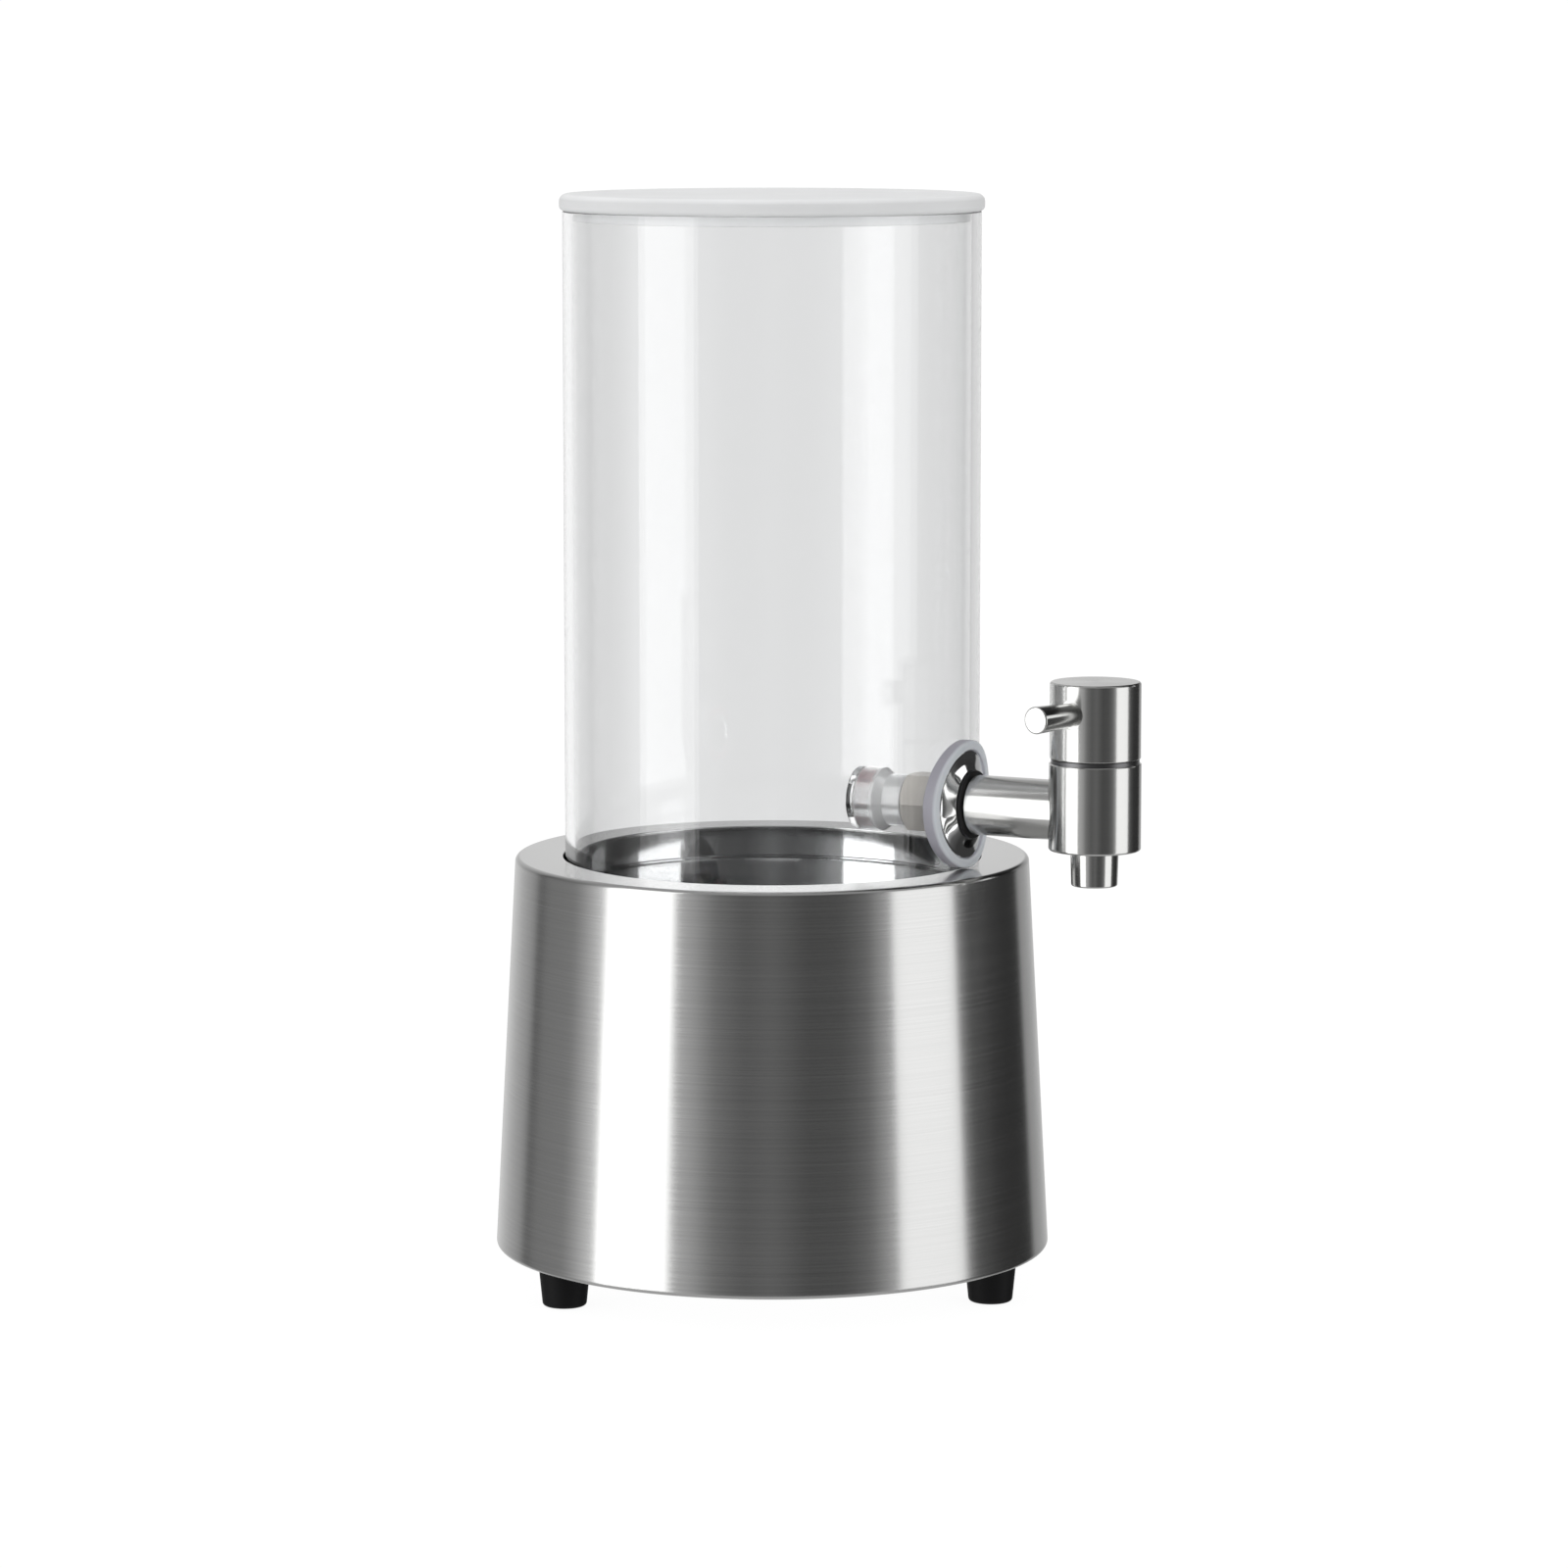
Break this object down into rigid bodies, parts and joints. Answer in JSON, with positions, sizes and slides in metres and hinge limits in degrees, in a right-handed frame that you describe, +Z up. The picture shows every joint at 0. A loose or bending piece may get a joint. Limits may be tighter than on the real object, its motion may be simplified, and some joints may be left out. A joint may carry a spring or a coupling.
{
  "type": "table-top drink tower dispenser",
  "caption": "Table-top drink tower: clear tube with a frosted lid in a tapered steel base on rubber feet, with a quarter-turn tap through its wall.",
  "frame": {"origin": "on the table, below the tube's axis", "axes": "+Z up along the tube's axis; +X out of the tube along the tap's pipe, over the foot below the tap"},
  "size_m": [0.2111, 0.1736, 0.34],
  "materials": {
    "brushed_shell": "satin",
    "polished_steel": "polished",
    "plate_steel": "satin",
    "foot_rubber": "matte",
    "fastener_steel": "satin",
    "clear_acrylic": "polished",
    "grey_silicone": "satin",
    "black_rubber": "satin",
    "tap_steel": "polished",
    "nut_plastic": "satin",
    "smoky_plastic": "gloss",
    "red_silicone": "satin",
    "clear_plastic": "gloss",
    "white_liner": "satin",
    "brass_plug": "satin",
    "frosted_lid": "satin"
  },
  "bodies": {
    "base": {"base_shell": "brushed_shell", "seat_bowl": "polished_steel", "bottom_plate": "plate_steel", "foot_1": "foot_rubber", "foot_2": "foot_rubber", "foot_3": "foot_rubber", "foot_washers": "fastener_steel", "foot_screws": "fastener_steel", "foot_nuts": "fastener_steel"},
    "vessel": {"tube": "clear_acrylic", "tube_floor": "clear_acrylic", "outer_gasket": "grey_silicone", "tap_flange": "polished_steel", "pipe_washer": "black_rubber", "tap_pipe": "tap_steel", "shank": "tap_steel", "clamp_nut": "nut_plastic", "inner_gasket": "grey_silicone", "inlet_barrel": "smoky_plastic", "inlet_seal": "red_silicone", "inlet_cap": "clear_plastic", "tap_body": "tap_steel", "valve_sleeve": "white_liner", "bonnet_nut": "fastener_steel", "nozzle": "tap_steel", "nozzle_seal": "black_rubber"},
    "handle": {"valve_plug": "brass_plug", "stem_seal": "black_rubber", "handle_cap": "tap_steel", "lever_pin": "tap_steel"},
    "lid": {"lid": "frosted_lid"}
  },
  "joints": [
    {"name": "tube_lift", "type": "slide", "parent": "base", "child": "vessel", "axis": [0, 0, 1], "range_m": [0, 0.05]},
    {"name": "lid_lift", "type": "slide", "parent": "vessel", "child": "lid", "axis": [0, 0, 1], "range_m": [0, 0.15]},
    {"name": "handle_turn", "type": "hinge", "parent": "vessel", "child": "handle", "pos_m": [0.1102, 0, 0.1855], "axis": [0, 0, 1], "range_deg": [0, 90]}
  ]
}
